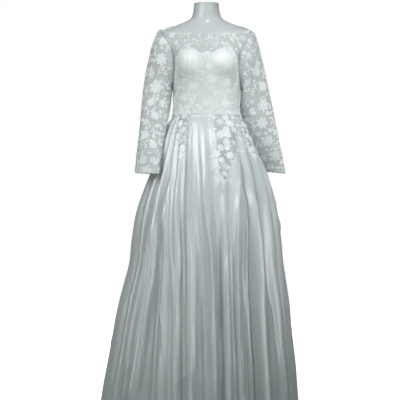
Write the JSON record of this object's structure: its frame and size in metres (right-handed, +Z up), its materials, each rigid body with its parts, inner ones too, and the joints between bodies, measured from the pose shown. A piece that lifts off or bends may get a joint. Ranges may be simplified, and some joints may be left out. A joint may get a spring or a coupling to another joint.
{
  "type": "long-sleeved wedding dress on a limbless dress form",
  "caption": "Floor-length satin wedding dress with a lace bodice, sheer lace yoke, long lace sleeves and a pleated A-line skirt, on a limbless dress form with a pole and round base.",
  "frame": {"origin": "on the floor, at the middle of the underside of the stand's round base, which is the stand_foot mount", "axes": "+Z up along the pole, the dress faces -Y, +X to the viewer's right"},
  "size_m": [0.7682, 0.8452, 1.5869],
  "materials": {
    "form": "smooth light grey glass-fibre shell with a soft gloss",
    "steel": "satin-brushed steel pole, collar and base",
    "satin": "heavy off-white duchess satin with a soft streaky sheen and fine crinkles",
    "lace": "off-white corded flower lace with small beads on sheer net",
    "button_satin": "satin-covered buttons"
  },
  "bodies": {
    "root": {"form_torso": "form", "form_neck_cap": "form", "stand_base": "steel", "stand_pole": "steel", "stand_collar": "steel", "bodice_centre_front": "satin", "bodice_side_front_left": "satin", "bodice_side_front_right": "satin", "bodice_back_left": "satin", "bodice_back_right": "satin", "skirt_front": "satin", "skirt_side_right": "satin", "skirt_back_right": "satin", "skirt_back_left": "satin", "skirt_side_left": "satin", "yoke_front": "lace", "yoke_back_left": "lace", "yoke_back_right": "lace", "sleeve_left": "lace", "sleeve_right": "lace", "spray_front_left": "lace", "spray_front_centre": "lace", "spray_front_right": "lace", "spray_hip_right": "lace", "spray_back_right": "lace", "spray_back_left": "lace", "spray_hip_left": "lace", "button_1": "button_satin", "button_2": "button_satin", "button_3": "button_satin", "button_4": "button_satin", "button_5": "button_satin", "button_6": "button_satin", "button_7": "button_satin", "button_8": "button_satin", "button_9": "button_satin", "button_10": "button_satin", "button_11": "button_satin", "button_12": "button_satin"}
  },
  "joints": []
}
